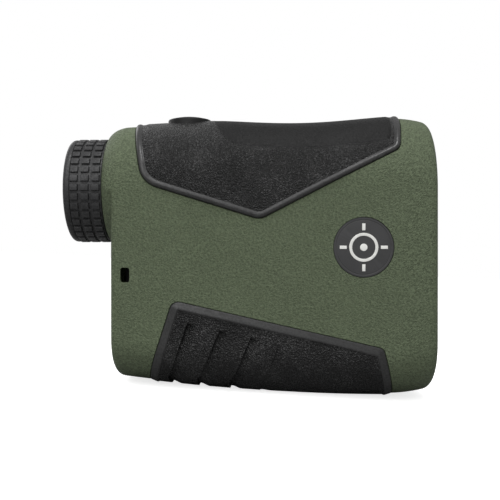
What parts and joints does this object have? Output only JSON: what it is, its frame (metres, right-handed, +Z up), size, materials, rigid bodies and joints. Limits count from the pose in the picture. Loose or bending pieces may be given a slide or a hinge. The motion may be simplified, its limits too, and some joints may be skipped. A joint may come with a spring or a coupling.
{
  "type": "laser rangefinder",
  "caption": "Handheld laser rangefinder with rubber-gripped green housing, knurled focus eyepiece, stacked lenses, power button and battery door.",
  "frame": {"origin": "on the plane of the lowest point of the sole, below the middle of the length and thickness", "axes": "+X the way the rangefinder looks, +Z up, +Y its left-hand side"},
  "size_m": [0.1, 0.041, 0.0784],
  "materials": {
    "housing": "fine leather-like moulded grain",
    "grip_rubber": "spark-textured, with smooth raised borders",
    "ring_rubber": "satin, with raised bumps",
    "button_plastic": "fine satin",
    "badge_plastic": "satin",
    "mark_ink": "printed",
    "black_plastic": "moulded, matte",
    "seal_rubber": "smooth",
    "coated_glass": "polished and coated",
    "prism_glass": "polished",
    "display_glass": "polished",
    "steel": "machined",
    "spring_steel": "drawn wire",
    "contact_brass": "plated",
    "circuit_board": "lacquered glass-fibre board",
    "chip_plastic": "moulded",
    "cell_wrap": "plain sleeve",
    "plunger_red": "moulded"
  },
  "bodies": {
    "housing": {"right_shell": "housing", "left_shell": "housing", "shell_gasket": "seal_rubber", "top_grip": "grip_rubber", "bottom_grip": "grip_rubber", "right_badge": "badge_plastic", "left_badge": "badge_plastic", "right_mark": "mark_ink", "left_mark": "mark_ink", "housing_screws": "steel", "front_bezel": "black_plastic", "objective_cell": "black_plastic", "objective_lens": "coated_glass", "objective_retainer": "black_plastic", "laser_tube": "black_plastic", "laser_lens": "coated_glass", "laser_retainer": "black_plastic", "laser_diode": "contact_brass", "laser_board": "circuit_board", "prism_front": "prism_glass", "prism_rear": "prism_glass", "prism_holder": "black_plastic", "detector": "steel", "detector_board": "circuit_board", "display_frame": "black_plastic", "display_plate": "display_glass", "main_board": "circuit_board", "board_chips": "chip_plastic", "board_screws": "steel", "battery_box": "black_plastic", "battery": "cell_wrap", "battery_spring": "spring_steel", "door_hinge_pin": "steel", "eyepiece_barrel": "black_plastic", "barrel_o_ring": "seal_rubber", "retaining_ring": "steel", "power_switch": "chip_plastic", "button_board": "circuit_board", "mode_switch": "chip_plastic"},
    "focus_ring": {"focus_ring": "ring_rubber", "eyecup": "ring_rubber"},
    "ocular": {"ocular_tube": "black_plastic", "eye_lens": "coated_glass", "field_lens": "coated_glass"},
    "power_button": {"power_button": "button_plastic", "power_switch_stem": "plunger_red"},
    "mode_button": {"mode_button": "button_plastic", "mode_switch_stem": "plunger_red"},
    "battery_door": {"battery_door": "housing", "door_gasket": "seal_rubber", "door_contact": "contact_brass"}
  },
  "joints": [
    {"name": "focus_ring_turn", "type": "hinge", "parent": "housing", "child": "focus_ring", "pos_m": [-0.044, 0, 0.0575], "axis": [1, 0, 0], "range_deg": [-120, 120]},
    {"name": "ocular_focus", "type": "slide", "parent": "housing", "child": "ocular", "axis": [-1, 0, 0], "range_m": [-0.0012, 0.0012]},
    {"name": "power_button_press", "type": "slide", "parent": "housing", "child": "power_button", "axis": [0, 0, -1], "range_m": [0, 0.0008], "stiffness_N_per_m": 2000, "springref_m": -0.0004},
    {"name": "mode_button_press", "type": "slide", "parent": "housing", "child": "mode_button", "axis": [0, -1, 0], "range_m": [0, 0.0006], "stiffness_N_per_m": 2000, "springref_m": -0.0004},
    {"name": "battery_door_hinge", "type": "hinge", "parent": "housing", "child": "battery_door", "pos_m": [-0.0344, 0, 0.013], "axis": [0, -1, 0], "range_deg": [0, 95]}
  ],
  "couplings": [
    {"joint": "focus_ring_turn", "follows": "ocular_focus", "rad_per_m": 1745}
  ]
}
